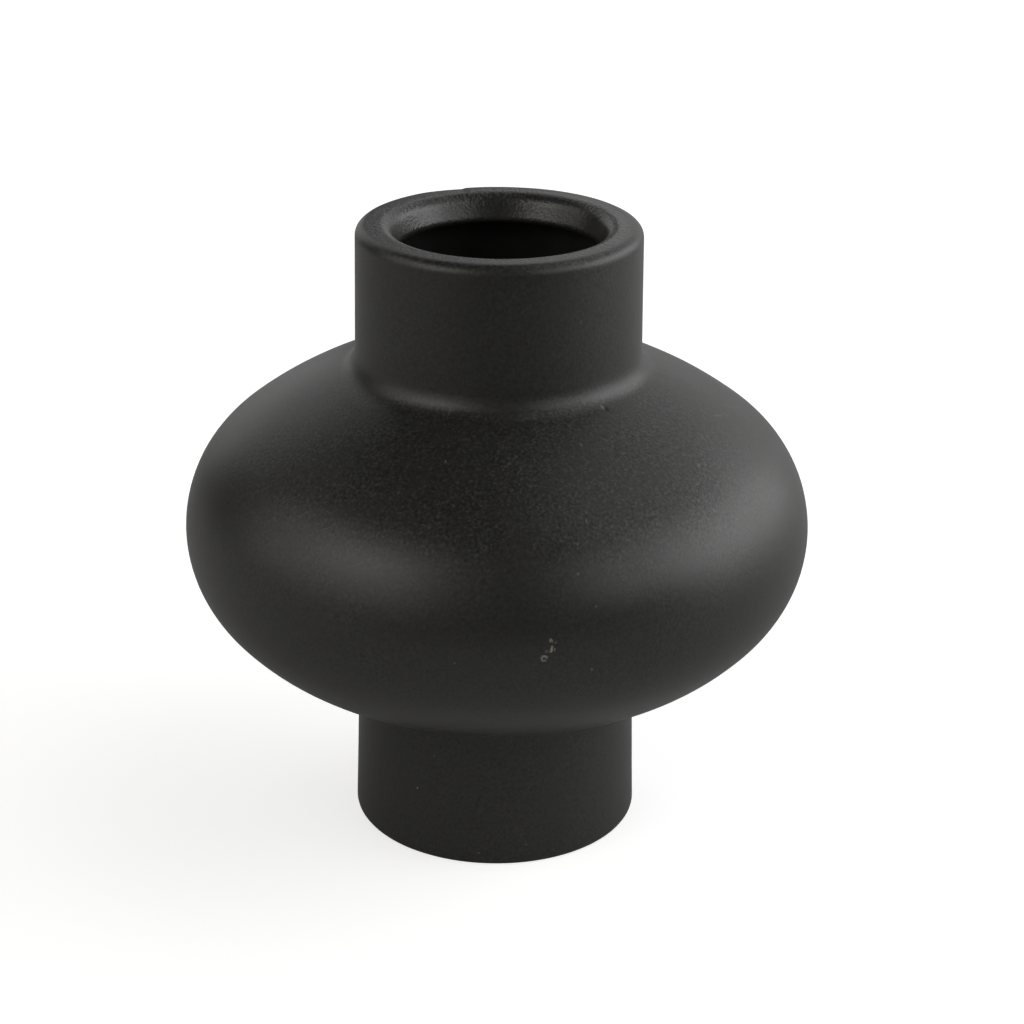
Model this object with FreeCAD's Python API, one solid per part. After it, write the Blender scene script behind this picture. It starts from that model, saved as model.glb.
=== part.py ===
import FreeCAD, Part
import math
import os

# Candle jar: a flattened round belly on a straight foot, with a straight neck and a thick flat lip.
# The body is a slip-cast shell. A flanged ring of the same clay, bedded in slip, makes the lip.
# A matt coat covers the outside, the lip and the bore of the ring. A gloss glaze lines the inside.
# Every surface turns about Z, and the standing face of the foot is at Z = 0.
# Lengths are in millimetres and angles in degrees.

# Belly: two arcs above the equator and two below it, each pair meeting smoothly.
BELLY_RADIUS = 65.0
UPPER_SIDE_CURVE = 27.0
UPPER_SIDE_SWEEP = 52.0
SHOULDER_CURVE = 84.0
LOWER_SIDE_CURVE = 26.0
LOWER_SIDE_SWEEP = 40.0
UNDERSIDE_CURVE = 46.0

# Neck: nearly a cylinder, a little narrower at the lip.
LIP_RADIUS = 29.0
NECK_LENGTH = 25.8
NECK_DRAFT = 0.7
NECK_FILLET = 5.0

# Foot: nearly a cylinder, a little wider at the standing face.
FOOT_RADIUS = 30.3
FOOT_LENGTH = 28.3
FOOT_DRAFT = 1.6
FOOT_FILLET = 6.0
FOOT_EDGE = 0.8

# Thickness of each layer, from the outside in.
COAT = 0.25
WALL = 3.3
LINER = 0.25

# Lip ring: a flange on top of the neck's wall and a spigot inside it.
# Its bore tapers inwards from the top, down to a short straight land.
FLANGE_HEIGHT = 3.0
LIP_DEPTH = 5.6
SPIGOT_WALL = 4.5
JOINT = 0.2
LIP_EDGE = 2.2
MOUTH_EDGE = 2.8
MOUTH_DRAFT = 20.0
MOUTH_LAND = 0.8

# Base: a standing ring round a shallow recess, under a flat floor.
STANDING_RING_WIDTH = 5.2
STANDING_RING_EDGE = 0.6
RECESS_DEPTH = 2.0
RECESS_CORNER = 1.2
FLOOR = 4.5
FLOOR_CORNER = 3.0
WIPED_EDGE = 0.05

# Depth below the finished outside of each face where two layers meet.
CLAY_FACE = COAT
BORE_FACE = COAT + WALL
SPIGOT_FACE = COAT + WALL + JOINT
LINER_FACE = COAT + WALL + LINER


def sine(angle):
    return math.sin(math.radians(angle))


def cosine(angle):
    return math.cos(math.radians(angle))


def tangent(angle):
    return math.tan(math.radians(angle))


def leg(hypotenuse, other_leg):
    return math.sqrt(hypotenuse**2 - other_leg**2)


def arc_centres():
    """Centre of each arc of the finished outside as (radius, height), and the lip's height."""
    lower_reach = UNDERSIDE_CURVE - LOWER_SIDE_CURVE
    lower_side = BELLY_RADIUS - LOWER_SIDE_CURVE
    underside = lower_side - lower_reach * cosine(LOWER_SIDE_SWEEP)
    upper_reach = SHOULDER_CURVE - UPPER_SIDE_CURVE
    upper_side = BELLY_RADIUS - UPPER_SIDE_CURVE
    shoulder = upper_side - upper_reach * cosine(UPPER_SIDE_SWEEP)

    foot_top = FOOT_RADIUS - FOOT_LENGTH * tangent(FOOT_DRAFT)
    foot_fillet = foot_top + FOOT_FILLET * cosine(FOOT_DRAFT)
    foot_fillet_height = FOOT_LENGTH + FOOT_FILLET * sine(FOOT_DRAFT)
    underside_height = foot_fillet_height + leg(UNDERSIDE_CURVE + FOOT_FILLET, foot_fillet - underside)
    equator = underside_height - lower_reach * sine(LOWER_SIDE_SWEEP)

    neck_foot = LIP_RADIUS + NECK_LENGTH * tangent(NECK_DRAFT)
    neck_fillet = neck_foot + NECK_FILLET * cosine(NECK_DRAFT)
    shoulder_height = equator - upper_reach * sine(UPPER_SIDE_SWEEP)
    neck_fillet_height = shoulder_height + leg(SHOULDER_CURVE + NECK_FILLET, neck_fillet - shoulder)
    centres = {
        "foot_fillet": (foot_fillet, foot_fillet_height),
        "underside": (underside, underside_height),
        "lower_side": (lower_side, equator),
        "upper_side": (upper_side, equator),
        "shoulder": (shoulder, shoulder_height),
        "neck_fillet": (neck_fillet, neck_fillet_height),
    }
    return centres, neck_fillet_height - NECK_FILLET * sine(NECK_DRAFT) + NECK_LENGTH


CENTRES, HEIGHT = arc_centres()
MOUTH_RADIUS = LIP_RADIUS - 2 * COAT - WALL - JOINT - SPIGOT_WALL
LIP_FLOOR = HEIGHT - LIP_DEPTH
FLANGE_FLOOR = HEIGHT - FLANGE_HEIGHT
NECK_TOP = FLANGE_FLOOR - JOINT
FLOOR_TOP = RECESS_DEPTH + FLOOR


def point(radius, height):
    return FreeCAD.Vector(radius, 0, height)


def line(start, end):
    return Part.makeLine(start, end)


def on_arc(centre, radius, angle):
    """Point of an arc at an angle above the outward direction."""
    return point(centre[0] + radius * cosine(angle), centre[1] + radius * sine(angle))


def arc(centre, radius, start, end):
    angles = (start, (start + end) / 2, end)
    return Part.Arc(*[on_arc(centre, radius, angle) for angle in angles]).toShape()


def on_neck(height, depth):
    """Point at a height, that far below the finished outside of the neck."""
    surface = LIP_RADIUS + (HEIGHT - height) * tangent(NECK_DRAFT)
    return point(surface - depth / cosine(NECK_DRAFT), height)


def on_foot(height, depth):
    """Point at a height, that far below the finished outside of the foot."""
    surface = FOOT_RADIUS - height * tangent(FOOT_DRAFT)
    return point(surface - depth / cosine(FOOT_DRAFT), height)


def slope(lower, upper):
    """Angle above the outward direction of the line from one arc's centre to another's."""
    return math.degrees(math.atan2(upper[1] - lower[1], upper[0] - lower[0]))


def belly_arcs(depth):
    """Arcs from the foot's top to the neck's bottom, that far below the finished outside."""
    to_foot = slope(CENTRES["underside"], CENTRES["foot_fillet"])
    to_neck = slope(CENTRES["shoulder"], CENTRES["neck_fillet"])
    return [
        arc(CENTRES["foot_fillet"], FOOT_FILLET + depth, 180 + FOOT_DRAFT, 180 + to_foot),
        arc(CENTRES["underside"], UNDERSIDE_CURVE - depth, to_foot, -LOWER_SIDE_SWEEP),
        arc(CENTRES["lower_side"], LOWER_SIDE_CURVE - depth, -LOWER_SIDE_SWEEP, 0),
        arc(CENTRES["upper_side"], UPPER_SIDE_CURVE - depth, 0, UPPER_SIDE_SWEEP),
        arc(CENTRES["shoulder"], SHOULDER_CURVE - depth, UPPER_SIDE_SWEEP, to_neck),
        arc(CENTRES["neck_fillet"], NECK_FILLET + depth, 180 + to_neck, 180 + NECK_DRAFT),
    ]


def side(depth, foot_point, neck_point):
    """The jar's side from a point on the foot to one on the neck, that far below the outside."""
    arcs = belly_arcs(depth)
    foot = line(foot_point, arcs[0].firstVertex().Point)
    neck = line(arcs[-1].lastVertex().Point, neck_point)
    return [foot, *arcs, neck]


def foot_edge():
    """Centre of the rounded lower edge of the foot's clay."""
    inset = FOOT_EDGE * (1 + sine(FOOT_DRAFT)) / cosine(FOOT_DRAFT)
    return (on_foot(0, CLAY_FACE).x - inset, FOOT_EDGE)


def lip_edge():
    """Centre of the rounded outer edge of the lip."""
    inset = LIP_EDGE * (1 - sine(NECK_DRAFT)) / cosine(NECK_DRAFT)
    return (LIP_RADIUS - inset, HEIGHT - LIP_EDGE)


def mouth_edge():
    """Centre of the rounded inner edge of the lip."""
    taper_height = LIP_DEPTH - MOUTH_LAND - MOUTH_EDGE * (1 - sine(MOUTH_DRAFT))
    taper_top = MOUTH_RADIUS + taper_height * tangent(MOUTH_DRAFT)
    return (taper_top + MOUTH_EDGE * cosine(MOUTH_DRAFT), HEIGHT - MOUTH_EDGE)


def floor_corner():
    """Centre of the rounded corner between the floor and the foot's inner wall."""
    height = FLOOR_TOP + FLOOR_CORNER
    return (on_foot(height, BORE_FACE + FLOOR_CORNER).x, height)


def lip_edges(depth):
    """The lip from its outer edge over the top to the bottom of its bore, at a depth."""
    outer = arc(lip_edge(), LIP_EDGE - depth, NECK_DRAFT, 90)
    inner = arc(mouth_edge(), MOUTH_EDGE - depth, 90, 180 - MOUTH_DRAFT)
    top = line(outer.lastVertex().Point, inner.firstVertex().Point)
    land_top = point(MOUTH_RADIUS + depth, LIP_FLOOR + MOUTH_LAND - depth * tangent(MOUTH_DRAFT / 2))
    taper = line(inner.lastVertex().Point, land_top)
    land = line(land_top, point(MOUTH_RADIUS + depth, LIP_FLOOR))
    return [outer, top, inner, taper, land]


def inside_edges(depth, end):
    """The inside from the middle of the floor to a point on the neck, at a depth."""
    floor_height = FLOOR_TOP + depth - BORE_FACE
    corner = arc(floor_corner(), FLOOR_CORNER - depth + BORE_FACE, -90, FOOT_DRAFT)
    floor = line(point(0, floor_height), corner.firstVertex().Point)
    return [floor, corner, *side(depth, corner.lastVertex().Point, end)]


def base_edges():
    """The underside from its middle over the standing ring to the foot's outer edge."""
    ring_inside = on_foot(0, CLAY_FACE).x - STANDING_RING_WIDTH
    corner = arc((ring_inside - RECESS_CORNER, RECESS_DEPTH - RECESS_CORNER), RECESS_CORNER, 90, 0)
    ring = arc((ring_inside + STANDING_RING_EDGE, STANDING_RING_EDGE), STANDING_RING_EDGE, 180, 270)
    outer = arc(foot_edge(), FOOT_EDGE, -90, FOOT_DRAFT)
    return [
        line(point(0, RECESS_DEPTH), corner.firstVertex().Point),
        corner,
        line(corner.lastVertex().Point, ring.firstVertex().Point),
        ring,
        line(ring.lastVertex().Point, outer.firstVertex().Point),
        outer,
    ]


def joined(points):
    """Straight edges through the points, in order."""
    return [line(start, end) for start, end in zip(points, points[1:])]


def turned(edges):
    """Solid of revolution about Z of the closed outline that the edges make."""
    outline = Part.Wire(Part.__sortEdges__(edges))
    return Part.Face(outline).revolve(point(0, 0), FreeCAD.Vector(0, 0, 1), 360)


def vessel_shell():
    """Cast clay shell: base, foot, belly and the neck up to the lip ring's bed."""
    base = base_edges()
    outside = side(CLAY_FACE, base[-1].lastVertex().Point, on_neck(NECK_TOP, CLAY_FACE))
    inside = inside_edges(BORE_FACE, on_neck(NECK_TOP, BORE_FACE))
    rim = line(on_neck(NECK_TOP, CLAY_FACE), on_neck(NECK_TOP, BORE_FACE))
    axis = line(point(0, RECESS_DEPTH), point(0, FLOOR_TOP))
    return turned([*base, *outside, rim, *inside, axis])


def lip_ring():
    """Flanged clay ring: the flange covers the neck's wall and the spigot hangs inside it."""
    lip = lip_edges(COAT)
    under = [
        lip[-1].lastVertex().Point,
        on_neck(LIP_FLOOR, SPIGOT_FACE),
        on_neck(FLANGE_FLOOR, SPIGOT_FACE),
        on_neck(FLANGE_FLOOR, CLAY_FACE),
        lip[0].firstVertex().Point,
    ]
    return turned([*lip, *joined(under)])


def joint_slip():
    """Fired slip that beds the ring: a sleeve round the spigot and a washer under the flange."""
    corners = [
        on_neck(LIP_FLOOR, SPIGOT_FACE),
        on_neck(FLANGE_FLOOR, SPIGOT_FACE),
        on_neck(FLANGE_FLOOR, CLAY_FACE),
        on_neck(NECK_TOP, CLAY_FACE),
        on_neck(NECK_TOP, BORE_FACE),
        on_neck(LIP_FLOOR, BORE_FACE),
    ]
    return turned(joined([*corners, corners[0]]))


def coat_face(depth, wrap):
    """The coated surface from the wiped edge under the foot to the bottom of the lip's bore."""
    foot = arc(foot_edge(), FOOT_EDGE + COAT - depth, -wrap, FOOT_DRAFT)
    lip = lip_edges(depth)
    return [foot, *side(depth, foot.lastVertex().Point, lip[0].firstVertex().Point), *lip]


def matt_coat():
    """Matt coat over the outside, the lip and its bore, wiped off just above the standing face."""
    wrap = math.degrees(math.asin((FOOT_EDGE - WIPED_EDGE) / (FOOT_EDGE + COAT)))
    outer = coat_face(0, wrap)
    inner = coat_face(COAT, wrap)
    wiped = line(outer[0].firstVertex().Point, inner[0].firstVertex().Point)
    bore_end = line(outer[-1].lastVertex().Point, inner[-1].lastVertex().Point)
    return turned([*outer, *inner, wiped, bore_end])


def liner_glaze():
    """Gloss glaze over the floor, the inner wall and the underside of the lip ring."""
    under_ring = LIP_FLOOR - LINER
    on_clay = inside_edges(BORE_FACE, on_neck(LIP_FLOOR, BORE_FACE))
    on_show = inside_edges(LINER_FACE, on_neck(under_ring, LINER_FACE))
    top = [
        on_neck(LIP_FLOOR, BORE_FACE),
        point(MOUTH_RADIUS + COAT, LIP_FLOOR),
        point(MOUTH_RADIUS + COAT, under_ring),
        on_neck(under_ring, LINER_FACE),
    ]
    axis = line(point(0, FLOOR_TOP), point(0, FLOOR_TOP + LINER))
    return turned([*on_clay, *joined(top), *on_show, axis])


PIECES = {
    "vessel_shell": vessel_shell,
    "lip_ring": lip_ring,
    "joint_slip": joint_slip,
    "matt_coat": matt_coat,
    "liner_glaze": liner_glaze,
}

os.makedirs("parts", exist_ok=True)
for name, build in PIECES.items():
    solid = build()
    solid.exportStep(os.path.join("parts", name + ".step"))
    box = solid.BoundBox
    print(f"{name}: valid {solid.isValid()}, {solid.Volume / 1000:.2f} cm3")
    print(f"  from Z {box.ZMin:.3f} to {box.ZMax:.3f}")
print(f"height {HEIGHT:.3f}, equator {CENTRES['lower_side'][1]:.3f}, mouth radius {MOUTH_RADIUS:.3f}")
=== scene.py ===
"""Visual model of an empty candle jar: matt black stoneware, wide belly, straight foot, thick lip."""

import functools
import math

import bpy
import numpy as np
from mathutils import Matrix, Vector, noise

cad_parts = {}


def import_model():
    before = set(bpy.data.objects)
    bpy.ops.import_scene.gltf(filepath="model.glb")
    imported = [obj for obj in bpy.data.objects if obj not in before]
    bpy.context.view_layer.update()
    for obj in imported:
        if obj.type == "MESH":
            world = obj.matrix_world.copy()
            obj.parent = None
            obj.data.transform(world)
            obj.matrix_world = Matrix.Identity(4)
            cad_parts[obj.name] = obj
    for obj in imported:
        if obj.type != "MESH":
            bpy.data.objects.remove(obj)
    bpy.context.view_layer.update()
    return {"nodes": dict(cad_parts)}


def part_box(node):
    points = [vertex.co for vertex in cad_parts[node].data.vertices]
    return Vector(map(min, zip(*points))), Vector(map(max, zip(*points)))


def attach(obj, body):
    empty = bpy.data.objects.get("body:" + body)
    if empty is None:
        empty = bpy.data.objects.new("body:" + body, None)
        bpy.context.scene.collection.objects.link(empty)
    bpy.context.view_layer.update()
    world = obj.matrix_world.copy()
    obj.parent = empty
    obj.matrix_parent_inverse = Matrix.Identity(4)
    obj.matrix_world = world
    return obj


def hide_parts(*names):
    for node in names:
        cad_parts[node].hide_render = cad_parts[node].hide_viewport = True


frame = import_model()

MM = 0.001
COAT_NODE = "matt_coat"

# Outline of the finished outside, in metres and degrees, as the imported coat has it.
BELLY_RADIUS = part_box(COAT_NODE)[1].x
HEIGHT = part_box(COAT_NODE)[1].z
UPPER_SIDE_CURVE = 27.0 * MM
UPPER_SIDE_SWEEP = 52.0
SHOULDER_CURVE = 84.0 * MM
LOWER_SIDE_CURVE = 26.0 * MM
LOWER_SIDE_SWEEP = 40.0
UNDERSIDE_CURVE = 46.0 * MM
LIP_RADIUS = 29.0 * MM
NECK_LENGTH = 25.8 * MM
NECK_DRAFT = 0.7
NECK_FILLET = 5.0 * MM
FOOT_RADIUS = 30.3 * MM
FOOT_LENGTH = 28.3 * MM
FOOT_DRAFT = 1.6
FOOT_FILLET = 6.0 * MM
FOOT_EDGE = 0.8 * MM
COAT = 0.25 * MM
WIPED_EDGE = 0.05 * MM
MOUTH_RADIUS = 20.5 * MM
LIP_DEPTH = 5.6 * MM
LIP_EDGE = 2.2 * MM
MOUTH_EDGE = 2.8 * MM
MOUTH_DRAFT = 20.0
MOUTH_LAND = 0.8 * MM

# Grid of the coat's mesh: its columns, how far apart its rows are, and how far the close rows reach.
COLUMNS = 384
FINE = 0.4 * MM
COARSE = 1.4 * MM
HIDDEN = 5.0 * MM
FOOT_BAND = 1.5 * MM
LIP_BAND = 7.0 * MM
CHIPS_BAND = 3.0 * MM
PIT_BAND = 1.5 * MM
FILLET_REACH = 42.0 * MM

# Hand-made waviness of the coat: height of the waves and how many lie in a metre.
SWELL_HEIGHT, SWELL_RATE = 0.07 * MM, 28
RIPPLE_HEIGHT, RIPPLE_RATE = 0.02 * MM, 110

# Marks in the coat: azimuth in degrees anticlockwise from +X, height, width and length in mm, turn in
# degrees, and how much of the light clay shows.
CHIPS = [
    (-82.4, 65.3, 0.34, 1.00, 8, 0.58),
    (-81.9, 65.8, 1.00, 0.42, -15, 0.66),
    (-81.6, 65.5, 0.40, 0.60, 0, 0.47),
    (-82.0, 64.9, 0.70, 0.42, 10, 0.55),
    (-81.6, 66.8, 0.55, 0.60, 0, 0.20),
    (-81.0, 66.9, 0.26, 0.70, -20, 0.31),
    (-80.8, 67.2, 0.44, 1.25, -10, 0.78),
    (-80.3, 67.1, 0.26, 0.60, 0, 0.43),
    (-80.9, 69.0, 0.60, 0.80, 30, 0.51),
    (-80.1, 68.5, 0.40, 0.36, 0, 0.27),
    (-49.2, 100.3, 0.36, 0.80, 5, 0.20),
]
SPECKS = [
    (-75.6, 80.4, 0.40, 0.44, 10, 0.22),
    (-73.0, 74.6, 0.34, 0.34, 0, 0.18),
    (-122.8, 15.3, 0.42, 0.46, 0, 0.42),
    (-115.0, 23.8, 0.34, 0.36, 0, 0.22),
    (-96.2, 2.6, 0.60, 0.26, 0, 0.22),
    (-77.2, 4.4, 0.34, 0.30, 0, 0.22),
    (-72.0, 87.9, 0.34, 0.40, 20, 0.25),
    (-74.8, 84.9, 0.40, 0.40, 0, 0.22),
    (-96.8, 64.3, 0.36, 0.36, 0, 0.18),
    (-73.8, 62.1, 0.40, 0.50, 30, 0.25),
    (-57.0, 118.0, 0.30, 0.80, -30, 0.13),
    (-103.5, 95.5, 0.36, 0.40, 0, 0.22),
    (-112.0, 91.0, 0.30, 0.36, 0, 0.18),
    (-66.0, 97.0, 0.34, 0.36, 0, 0.18),
    (-38.0, 91.0, 0.40, 0.40, 0, 0.25),
    (148.0, 71.0, 0.50, 0.40, 0, 0.31),
    (63.0, 88.0, 0.40, 0.40, 0, 0.25),
    (12.0, 49.0, 0.40, 0.36, 0, 0.22),
]
SCRATCHES = [
    (-107.8, 101.1, 0.26, 1.90, -6, 0.08),
    (-87.0, 95.5, 1.70, 0.20, 25, 0.08),
    (-84.6, 94.6, 1.30, 0.20, 35, 0.08),
    (-28.5, 93.3, 1.60, 0.24, 55, 0.15),
    (-27.3, 92.6, 1.40, 0.20, 60, 0.11),
    (-13.2, 93.6, 2.60, 0.22, -18, 0.14),
    (-9.5, 92.8, 2.20, 0.20, -24, 0.11),
    (-2.0, 92.2, 2.80, 0.22, -30, 0.15),
    (2.0, 90.9, 2.20, 0.20, -36, 0.11),
    (96.0, 44.0, 2.60, 0.22, 24, 0.11),
    (171.0, 58.0, 3.20, 0.20, -12, 0.11),
]

# Dents at the marks and at the pit, in mm and degrees, and the middle of the group of chips.
CHIP_DEPTH = 0.10
SPECK_DEPTH = 0.05
PIT_AZIMUTH, PIT_HEIGHT, PIT_RADIUS, PIT_DEPTH = -49.2, 100.2, 0.50, 0.16
CHIPS_AZIMUTH, CHIPS_HEIGHT = -81, 67.2

# How ragged a dent's edge is, as a share of its radius, and how many waves of it lie in a metre.
RAGGED_SHARE, RAGGED_RATE = 0.5, 2500

# The worn place in the rim: where it lies round the lip in degrees, how far it reaches down and inward.
NICK_START, NICK_STEP, NICK_END = 105.0, 2.0, 124.0
NICK_DEPTH = 0.22 * MM
NICK_REACH = 2.5 * MM
NICK_INNER_RADIUS = 24.0 * MM

# Where the mesh has closer columns: azimuth, how much closer, and how far to each side in degrees.
CLOSE_COLUMNS = [(CHIPS_AZIMUTH, 8, 2.6), (PIT_AZIMUTH, 7, 1.2), (NICK_START, 2, 2)]

# The lights stand on a dome round the jar, and the floor and wall end farther out.
STUDIO_RADIUS = 1.5
FAR = 4.0


# Trigonometry in degrees.
def sine(angle):
    return math.sin(math.radians(angle))


def cosine(angle):
    return math.cos(math.radians(angle))


def tangent(angle):
    return math.tan(math.radians(angle))


def slope(lower, upper):
    """Angle above the outward direction of the line from one arc's centre to another's."""
    return math.degrees(math.atan2(upper[1] - lower[1], upper[0] - lower[0]))


def arc(centre, radius, start, end, step=0.1 * MM):
    """Points of an arc as (radius, height), its angles measured above the outward direction."""
    count = max(3, int(abs(math.radians(end - start)) * radius / step))
    angles = np.linspace(start, end, count)
    return [(centre[0] + radius * cosine(angle), centre[1] + radius * sine(angle)) for angle in angles]


def rise(distance, run):
    """How much higher one arc's centre is than another's, from their distance and their run outward."""
    return math.sqrt(distance**2 - run**2)


def belly_centres():
    """Centre of each arc of the belly and its two fillets."""
    lower_reach = UNDERSIDE_CURVE - LOWER_SIDE_CURVE
    upper_reach = SHOULDER_CURVE - UPPER_SIDE_CURVE
    underside = BELLY_RADIUS - LOWER_SIDE_CURVE - lower_reach * cosine(LOWER_SIDE_SWEEP)
    shoulder = BELLY_RADIUS - UPPER_SIDE_CURVE - upper_reach * cosine(UPPER_SIDE_SWEEP)
    foot_fillet = FOOT_RADIUS - FOOT_LENGTH * tangent(FOOT_DRAFT) + FOOT_FILLET * cosine(FOOT_DRAFT)
    foot_height = FOOT_LENGTH + FOOT_FILLET * sine(FOOT_DRAFT)
    underside_height = foot_height + rise(UNDERSIDE_CURVE + FOOT_FILLET, foot_fillet - underside)
    equator = underside_height - lower_reach * sine(LOWER_SIDE_SWEEP)
    shoulder_height = equator - upper_reach * sine(UPPER_SIDE_SWEEP)
    neck_fillet = LIP_RADIUS + NECK_LENGTH * tangent(NECK_DRAFT) + NECK_FILLET * cosine(NECK_DRAFT)
    neck_height = shoulder_height + rise(SHOULDER_CURVE + NECK_FILLET, neck_fillet - shoulder)
    return {
        "foot_fillet": (foot_fillet, foot_height),
        "underside": (underside, underside_height),
        "lower_side": (BELLY_RADIUS - LOWER_SIDE_CURVE, equator),
        "upper_side": (BELLY_RADIUS - UPPER_SIDE_CURVE, equator),
        "shoulder": (shoulder, shoulder_height),
        "neck_fillet": (neck_fillet, neck_height),
    }


def outline(depth):
    """The coat's face at a depth, from its wiped edge under the foot to the bottom of the bore."""
    centre = belly_centres()
    to_foot = slope(centre["underside"], centre["foot_fillet"])
    to_neck = slope(centre["shoulder"], centre["neck_fillet"])
    foot_inset = COAT / cosine(FOOT_DRAFT) + FOOT_EDGE * (1 + sine(FOOT_DRAFT)) / cosine(FOOT_DRAFT)
    foot_centre = (FOOT_RADIUS - foot_inset, FOOT_EDGE)
    wrap = math.degrees(math.asin((FOOT_EDGE - WIPED_EDGE) / (FOOT_EDGE + COAT)))
    lip_centre = (LIP_RADIUS - LIP_EDGE * (1 - sine(NECK_DRAFT)) / cosine(NECK_DRAFT), HEIGHT - LIP_EDGE)
    taper = (LIP_DEPTH - MOUTH_LAND - MOUTH_EDGE * (1 - sine(MOUTH_DRAFT))) * tangent(MOUTH_DRAFT)
    mouth_centre = (MOUTH_RADIUS + taper + MOUTH_EDGE * cosine(MOUTH_DRAFT), HEIGHT - MOUTH_EDGE)
    land_top = HEIGHT - LIP_DEPTH + MOUTH_LAND - depth * tangent(MOUTH_DRAFT / 2)
    return [
        *arc(foot_centre, FOOT_EDGE + COAT - depth, -wrap, FOOT_DRAFT),
        *arc(centre["foot_fillet"], FOOT_FILLET + depth, 180 + FOOT_DRAFT, 180 + to_foot),
        *arc(centre["underside"], UNDERSIDE_CURVE - depth, to_foot, -LOWER_SIDE_SWEEP),
        *arc(centre["lower_side"], LOWER_SIDE_CURVE - depth, -LOWER_SIDE_SWEEP, 0),
        *arc(centre["upper_side"], UPPER_SIDE_CURVE - depth, 0, UPPER_SIDE_SWEEP),
        *arc(centre["shoulder"], SHOULDER_CURVE - depth, UPPER_SIDE_SWEEP, to_neck),
        *arc(centre["neck_fillet"], NECK_FILLET + depth, 180 + to_neck, 180 + NECK_DRAFT),
        *arc(lip_centre, LIP_EDGE - depth, NECK_DRAFT, 90),
        *arc(mouth_centre, MOUTH_EDGE - depth, 90, 180 - MOUTH_DRAFT),
        (MOUTH_RADIUS + depth, land_top),
        (MOUTH_RADIUS + depth, HEIGHT - LIP_DEPTH),
    ]


def spaced(low, high, density, count=None):
    """Values from low to high, packed as closely as density(value) says, in count steps if it is given."""
    samples = 8001
    fine = np.linspace(low, high, samples)
    weight = np.array([density(value) for value in fine])
    total = np.concatenate([[0], np.cumsum((weight[1:] + weight[:-1]) / 2) * (fine[1] - fine[0])])
    count = count or int(math.ceil(total[-1]))
    return np.interp(np.linspace(0, total[-1], count + 1), total, fine)


def resampled(points, spacing):
    """The outline again, its points spacing(radius, height) apart."""
    same_point = 1e-8
    points = np.array(points)
    steps = np.hypot(*np.diff(points, axis=0).T)
    points = points[np.concatenate([[True], steps > same_point])]
    length = np.concatenate([[0], np.cumsum(np.hypot(*np.diff(points, axis=0).T))])

    def at(distance):
        return np.interp(distance, length, points[:, 0]), np.interp(distance, length, points[:, 1])

    return np.stack(at(spaced(0, length[-1], lambda distance: 1 / spacing(*at(distance)))), 1)


def bell(distance, width):
    """1 at no distance, falling softly to almost nothing at twice the width."""
    return math.exp(-((distance / width) ** 2))


def row_spacing(radius, height):
    """Close rows at the foot's edge, the lip, the chips and the pit, wider ones elsewhere."""
    near_edge = height < FOOT_BAND or height > HEIGHT - LIP_BAND
    near_chips = abs(height - CHIPS_HEIGHT * MM) < CHIPS_BAND
    near_pit = abs(height - PIT_HEIGHT * MM) < PIT_BAND
    return FINE if near_edge or near_chips or near_pit else COARSE


def back_spacing(radius, height):
    """Rows of the inner face, close enough at the neck and foot to stay behind the fillets."""
    return COARSE if radius < FILLET_REACH else HIDDEN


def column_density(azimuth):
    """Close columns at the chips, the pit and the worn rim, wider ones elsewhere."""
    return sum((gain * bell(azimuth - centre, reach) for centre, gain, reach in CLOSE_COLUMNS), 1)


def surface_point(face, azimuth, height):
    """The point of the outer face at an azimuth in degrees and a height in millimetres."""
    outer = face[: np.argmax(face[:, 1])]
    radius = np.interp(height * MM, outer[:, 1], outer[:, 0])
    return Vector((radius * cosine(azimuth), radius * sine(azimuth), height * MM))


def normals(face):
    """Outward normals of an outline as (radial, upward) pairs."""
    along = np.gradient(face, axis=0)
    along /= np.hypot(*along.T)[:, None]
    return np.stack([along[:, 1], -along[:, 0]], 1)


def dent(point, marks):
    """How far the marks push a point of the face in: fully near the middle, not beyond a ragged edge."""
    full, none = 0.75, 1.25
    depth = 0
    for centre, radius, deepest in marks:
        distance = (point - centre).length
        if distance < 2 * radius:
            ragged = radius * (1 + RAGGED_SHARE * noise.noise(point * RAGGED_RATE))
            depth = max(depth, deepest * min(1, max(0, none - distance / ragged) / (none - full)))
    return depth


def nick(azimuth):
    """Depth of the worn place in the rim, from 0 to 1: a short step, then a long rise."""
    return max(0, min((azimuth - NICK_START) / NICK_STEP, (NICK_END - azimuth) / (NICK_END - NICK_START)))


def dents(face):
    """Centre, radius and depth of each place where the coat is pushed in."""
    marks = [(PIT_AZIMUTH, PIT_HEIGHT, PIT_RADIUS, PIT_DEPTH)]
    for azimuth, height, width, length, *_ in CHIPS:
        marks.append((azimuth, height, (width + length) / 4, CHIP_DEPTH))
    for azimuth, height, width, *_ in SPECKS:
        marks.append((azimuth, height, width / 2, SPECK_DEPTH))
    return [
        (surface_point(face, azimuth, height), radius * MM, depth * MM)
        for azimuth, height, radius, depth in marks
    ]


def front_vertices(face, azimuths):
    """The coat's visible face, with its waviness, its dents and the worn place in the rim."""
    marks = dents(face)
    vertices = []
    for (radius, height), (radial, upward) in zip(face, normals(face)):
        on_rim = height > HEIGHT - NICK_REACH and radius > NICK_INNER_RADIUS
        for azimuth in azimuths:
            across, along = cosine(azimuth), sine(azimuth)
            point = Vector((radius * across, radius * along, height))
            swell = SWELL_HEIGHT * noise.noise(point * SWELL_RATE)
            ripple = RIPPLE_HEIGHT * noise.noise(point * RIPPLE_RATE)
            lift = swell + ripple - dent(point, marks)
            point += lift * Vector((radial * across, radial * along, upward))
            if on_rim:
                point.z -= NICK_DEPTH * nick(azimuth)
            vertices.append(point)
    return vertices


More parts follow.
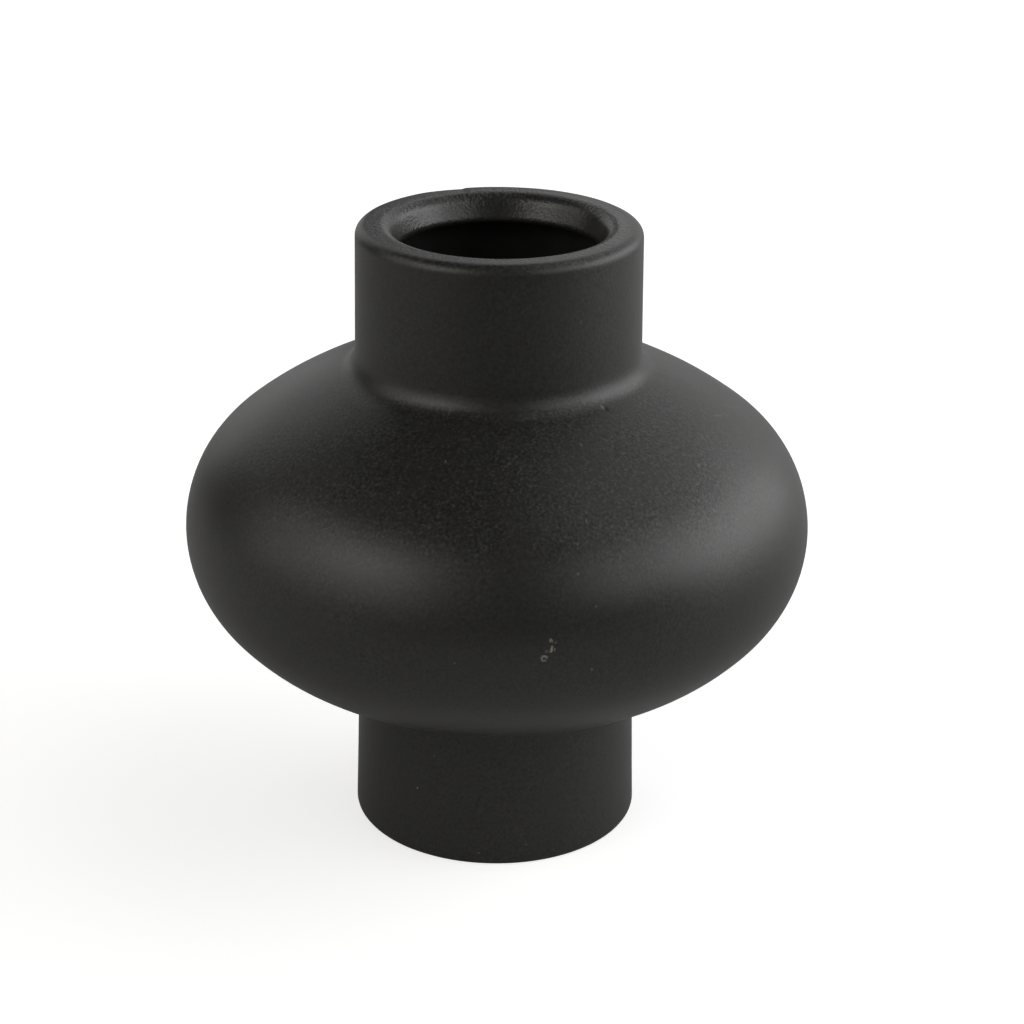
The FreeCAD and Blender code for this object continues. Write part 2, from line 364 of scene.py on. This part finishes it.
def coat_piece():
    """The coat as one closed turned mesh, and the outline of its visible face."""
    face = resampled(outline(0), row_spacing)
    back = resampled(outline(COAT), back_spacing)
    azimuths = spaced(-180, 180, column_density, COLUMNS)[:-1]
    vertices = front_vertices(face, azimuths)
    # The inner face runs back down, so that the rings close round the coat's section.
    for radius, height in back[::-1]:
        vertices += [(radius * cosine(azimuth), radius * sine(azimuth), height) for azimuth in azimuths]
    return turned_mesh("coat", vertices, len(azimuths)), face


def turned_mesh(name, vertices, columns):
    """A closed smooth mesh from rings of vertices, the last ring joined to the first."""
    rows = len(vertices) // columns
    faces = []
    for row in range(rows):
        low, high = row * columns, (row + 1) % rows * columns
        for column in range(columns):
            after = (column + 1) % columns
            faces.append((low + column, low + after, high + after, high + column))
    mesh = bpy.data.meshes.new(name)
    mesh.from_pydata(vertices, [], faces)
    mesh.shade_smooth()
    piece = bpy.data.objects.new(name, mesh)
    bpy.context.scene.collection.objects.link(piece)
    return piece


class Material:
    """A node material with short calls for the nodes that the finishes use."""

    def __init__(self, name):
        self.material = bpy.data.materials.new(name)
        self.material.use_nodes = True
        self.tree = self.material.node_tree
        self.shader = self.tree.nodes["Principled BSDF"]
        self.coordinates = self.node("ShaderNodeTexCoord").outputs["Object"]

    def node(self, kind, inputs=None, **settings):
        made = self.tree.nodes.new(kind)
        for name, value in settings.items():
            setattr(made, name, value)
        for name, value in (inputs or {}).items():
            self.put(made.inputs[name], value)
        return made

    def put(self, socket, value):
        if isinstance(value, bpy.types.NodeSocket):
            self.tree.links.new(value, socket)
        else:
            socket.default_value = value

    def set(self, name, value):
        self.put(self.shader.inputs[name], value)

    def math(self, operation, first, second=0.0):
        return self.node("ShaderNodeMath", {0: first, 1: second}, operation=operation).outputs[0]

    def plus(self, first, second):
        return self.math("ADD", first, second)

    def minus(self, first, second):
        return self.math("SUBTRACT", first, second)

    def times(self, first, second):
        return self.math("MULTIPLY", first, second)

    def noise(self, size, detail=2.0, vector=None):
        """Soft noise from about 0 to 1, with features of that size in metres."""
        inputs = {"Vector": vector or self.coordinates, "Scale": 1 / size, "Detail": detail}
        return self.node("ShaderNodeTexNoise", inputs).outputs["Fac"]

    def length(self, vector):
        return self.node("ShaderNodeVectorMath", {0: vector}, operation="LENGTH").outputs["Value"]

    def radius(self):
        """Distance from the jar's axis."""
        inputs = {0: self.coordinates, 1: (1, 1, 0)}
        return self.length(self.node("ShaderNodeVectorMath", inputs, operation="MULTIPLY").outputs[0])

    def span(self, value, low, high, at_low=0.0, at_high=1.0):
        """A value from low to high turned into one from at_low to at_high, and held there beyond them."""
        inputs = {"Value": value, "From Min": low, "From Max": high, "To Min": at_low, "To Max": at_high}
        return self.node("ShaderNodeMapRange", inputs).outputs["Result"]

    def mix(self, factor, first, second):
        inputs = {"Factor": factor, 6: first, 7: second}
        return self.node("ShaderNodeMix", inputs, data_type="RGBA").outputs[2]

    def stroke(self, centre, azimuth, turn, width, length, ragged):
        """1 inside an ellipse on the surface, turned from upright, and 0 outside, with a ragged edge."""
        through = 3 * MM
        outside, inside = 1.45, 0.65
        size = (through, width / 2, length / 2)
        angles = (math.radians(turn), 0, math.radians(azimuth))
        inputs = {"Vector": self.coordinates, "Location": centre, "Rotation": angles, "Scale": size}
        local = self.node("ShaderNodeMapping", inputs, vector_type="TEXTURE").outputs["Vector"]
        return self.span(self.plus(self.length(local), ragged), outside, inside)

    def bump(self, height, strength, distance):
        inputs = {"Height": height, "Strength": strength, "Distance": distance}
        return self.node("ShaderNodeBump", inputs).outputs["Normal"]


def colour(red, green, blue):
    return (red, green, blue, 1)


def coat_grain(paint, up):
    """Fine grain about 0, stronger on upward faces and in loose clumps."""
    fine = paint.times(paint.noise(0.6 * MM), 0.85)
    coarse = paint.times(paint.noise(1.4 * MM), 0.15)
    clumps = paint.span(paint.noise(9 * MM), 0.35, 0.65, 0.6, 1.2)
    strength = paint.times(paint.span(up, 0.45, 0.85, 0.47, 1.0), clumps)
    return paint.times(paint.minus(paint.plus(fine, coarse), 0.5), strength)


def coat_colour(paint, grain, cloud, up):
    """Black that the grain and the clouds lighten, with pale dust on upward faces."""
    deepest = colour(0.003, 0.003, 0.0028)
    lightest = colour(0.031, 0.0305, 0.0285)
    pale_dust = colour(0.085, 0.083, 0.076)
    shade = paint.plus(paint.times(grain, 1.2), paint.span(cloud, 0.3, 0.7, 0.44, 0.56))
    flecks = paint.span(paint.noise(0.6 * MM, 1.0), 0.60, 0.76)
    dust = paint.times(flecks, paint.span(up, 0.42, 0.85))
    return paint.mix(paint.times(dust, 0.28), paint.mix(shade, deepest, lightest), pale_dust)


def worn_share(paint, face):
    """How much of the light clay shows at the chips, specks and scratches."""
    ragged = paint.times(paint.minus(paint.noise(0.35 * MM), 0.5), 1.6)
    spots = []
    for azimuth, height, width, length, turn, light in CHIPS + SPECKS + SCRATCHES:
        centre = surface_point(face, azimuth, height)
        spot = paint.stroke(centre, azimuth, turn, width * MM, length * MM, ragged)
        spots.append(paint.times(spot, light))
    return functools.reduce(lambda first, second: paint.math("MAXIMUM", first, second), spots)


def coat_relief(paint, grain, bore):
    """Height of the grain, deeper in the bore, over faint rings from turning."""
    drawn_out = {"Vector": paint.coordinates, "Scale": (0.05, 0.05, 1)}
    rings = paint.noise(0.9 * MM, 3.0, paint.node("ShaderNodeMapping", drawn_out).outputs["Vector"])
    grain_height = paint.times(grain, paint.span(bore, 0.0, 1.0, 0.8, 2.9))
    return paint.plus(grain_height, paint.times(rings, 0.12))


def coat_material(face):
    """Matt black coat, a little glossier in the bore."""
    paint = Material("matt_black_coat")
    normal = paint.node("ShaderNodeNewGeometry").outputs["Normal"]
    up = paint.node("ShaderNodeSeparateXYZ", {0: normal}).outputs["Z"]
    bore = paint.span(paint.radius(), LIP_RADIUS - 1.5 * MM, LIP_RADIUS - 4 * MM)
    cloud = paint.noise(35 * MM, 3.0)
    grain = coat_grain(paint, up)
    black = coat_colour(paint, grain, cloud, up)
    bare_clay = colour(0.31, 0.30, 0.24)
    paint.set("Base Color", paint.mix(worn_share(paint, face), black, bare_clay))
    roughness = paint.plus(paint.span(cloud, 0.3, 0.7, 0.39, 0.43), paint.times(grain, 0.25))
    paint.set("Roughness", paint.minus(roughness, paint.times(bore, 0.09)))
    paint.set("Specular IOR Level", paint.plus(paint.times(grain, 0.8), 0.5))
    paint.set("Normal", paint.bump(coat_relief(paint, grain, bore), 1.0, 0.08 * MM))
    return paint.material


def liner_material():
    """Gloss black glaze with soft waves."""
    paint = Material("gloss_black_liner")
    dark, light = colour(0.014, 0.014, 0.0135), colour(0.024, 0.024, 0.023)
    paint.set("Base Color", paint.mix(paint.noise(6 * MM), dark, light))
    paint.set("Roughness", paint.span(paint.noise(3 * MM), 0.3, 0.7, 0.16, 0.26))
    paint.set("Normal", paint.bump(paint.noise(4 * MM), 0.4, 0.1 * MM))
    return paint.material


def clay_material(name, dark, light):
    """Bare fired clay with dark grog, a sandy surface and faint rings from turning."""
    paint = Material(name)
    ring_width = 1.1 * MM
    rings = paint.math("SINE", paint.times(paint.radius(), 2 * math.pi / ring_width))
    grog = paint.span(paint.noise(0.5 * MM, 3.0), 0.62, 0.72)
    tone = paint.mix(paint.span(paint.noise(7 * MM, 4.0), 0.3, 0.7), dark, light)
    brown = colour(0.12, 0.08, 0.05)
    paint.set("Base Color", paint.mix(grog, tone, brown))
    paint.set("Roughness", paint.span(paint.noise(2 * MM), 0.3, 0.7, 0.78, 0.92))
    height = paint.plus(paint.noise(0.35 * MM, 3.0), paint.times(rings, 0.18))
    paint.set("Normal", paint.bump(height, 0.8, 0.05 * MM))
    return paint.material


def dress(node, material):
    """Gives a carried-over node its finish."""
    frame["nodes"][node].data.materials.clear()
    frame["nodes"][node].data.materials.append(material)


def softbox(name, azimuth, elevation, width, height, radiance, tint=(1, 1, 1)):
    """A rectangular light on a dome round the belly; width and height are the angles it spans."""
    level = cosine(elevation)
    outward = Vector((cosine(azimuth) * level, sine(azimuth) * level, sine(elevation)))
    data = bpy.data.lights.new(name, "AREA")
    data.shape = "RECTANGLE"
    data.size = 2 * STUDIO_RADIUS * tangent(width / 2)
    data.size_y = 2 * STUDIO_RADIUS * tangent(height / 2)
    data.energy = math.pi * data.size * data.size_y * radiance
    data.color = tint
    light = bpy.data.objects.new(name, data)
    light.location = outward * STUDIO_RADIUS + Vector((0, 0, HEIGHT / 2))
    light.visible_camera = False
    light.rotation_euler = outward.to_track_quat("Z", "Y").to_euler()
    bpy.context.scene.collection.objects.link(light)


def lights():
    """Softboxes round the jar, each with its azimuth, elevation, width, height and radiance."""
    warm = (1, 0.98, 0.92)
    softbox("right_rear_box", -18, 30, 70, 38, 1.55)
    softbox("right_front_box", 12, 17, 60, 35, 1.95)
    softbox("left_box", 206, 28, 74, 50, 0.97, warm)
    softbox("left_key", 217, 33, 28, 18, 1.9, warm)
    softbox("back_right_card", 62, 28, 57, 56, 0.74)
    softbox("back_card", 117, 20, 32, 44, 0.75)
    softbox("top_box", 3, 65, 35, 27, 0.76)
    softbox("front_card", -90, 12, 64, 22, 0.12)


def world():
    """Faint even light from all round."""
    surroundings = bpy.data.worlds.new("studio")
    surroundings.use_nodes = True
    background = surroundings.node_tree.nodes["Background"]
    background.inputs["Color"].default_value = colour(1, 1, 1)
    background.inputs["Strength"].default_value = 0.02
    bpy.context.scene.world = surroundings
    bpy.context.scene.view_settings.view_transform = "Standard"


def staged(name, vertices, faces, reflectance, glow):
    """A matt white surface of the studio that isn't part of the jar."""
    mesh = bpy.data.meshes.new(name)
    mesh.from_pydata(vertices, [], faces)
    mesh.shade_smooth()
    sheet = bpy.data.objects.new(name, mesh)
    bpy.context.scene.collection.objects.link(sheet)
    paint = Material(name)
    paint.set("Base Color", colour(reflectance, reflectance, reflectance))
    paint.set("Roughness", 1.0)
    paint.set("Specular IOR Level", 0.0)
    paint.set("Emission Color", colour(1, 1, 1))
    paint.set("Emission Strength", glow)
    mesh.materials.append(paint.material)
    return sheet


def only_seen(sheet):
    """Keeps a surface out of the jar's light and reflections."""
    sheet.visible_diffuse = False
    sheet.visible_glossy = False
    sheet.visible_shadow = False


def level_sheet(name, front, height, reflectance, glow):
    """A level sheet of the studio, from front to the far edge."""
    corners = [(-FAR, front, height), (FAR, front, height), (FAR, FAR, height), (-FAR, FAR, height)]
    return staged(name, corners, [(0, 1, 2, 3)], reflectance, glow)


def floor():
    """A pale floor that the camera sees, over a duller one that lights the jar from below."""
    bounce = level_sheet("bounce_floor", front=-0.34, height=-0.3 * MM, reflectance=0.6, glow=0.0)
    bounce.visible_camera = False
    only_seen(level_sheet("floor", front=-FAR, height=0, reflectance=0.75, glow=0.62))


def wall():
    """A white round wall with a ceiling that only the camera sees."""
    columns, bottom, top = 48, -1, 3
    turns = [360 * column / columns for column in range(columns)]
    circle = [(FAR * cosine(turn), FAR * sine(turn)) for turn in turns]
    vertices = [(x, y, height) for height in (bottom, top) for x, y in circle]
    faces = []
    for column in range(columns):
        after = (column + 1) % columns
        faces.append((column, after, columns + after, columns + column))
    ceiling = tuple(range(columns, 2 * columns))
    only_seen(staged("wall", vertices, [*faces, ceiling], reflectance=0.0, glow=1.0))


def camera():
    """A long lens in front of the jar, looking down at its middle."""
    distance, elevation, aim_height, roll = 0.5146, 23.17, 67.5 * MM, 0.488
    data = bpy.data.cameras.new("camera")
    data.sensor_width = 36.0
    data.lens = 86.0
    data.shift_x = 0.01457
    data.clip_start = 0.01
    data.clip_end = 20
    view = bpy.data.objects.new("camera", data)
    view.location = (0, -distance * cosine(elevation), aim_height + distance * sine(elevation))
    tilt = Matrix.Rotation(math.radians(90 - elevation), 4, "X")
    view.rotation_euler = (tilt @ Matrix.Rotation(math.radians(roll), 4, "Z")).to_euler()
    bpy.context.scene.collection.objects.link(view)
    bpy.context.scene.camera = view


camera()
coat, coat_face = coat_piece()
coat.data.materials.append(coat_material(coat_face))
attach(coat, "root")
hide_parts(COAT_NODE)

stoneware = clay_material("bare_stoneware", colour(0.50, 0.42, 0.31), colour(0.66, 0.58, 0.46))
dress("vessel_shell", stoneware)
dress("lip_ring", stoneware)
dress("joint_slip", clay_material("fired_slip", colour(0.42, 0.36, 0.28), colour(0.56, 0.49, 0.39)))
dress("liner_glaze", liner_material())

floor()
wall()
lights()
world()
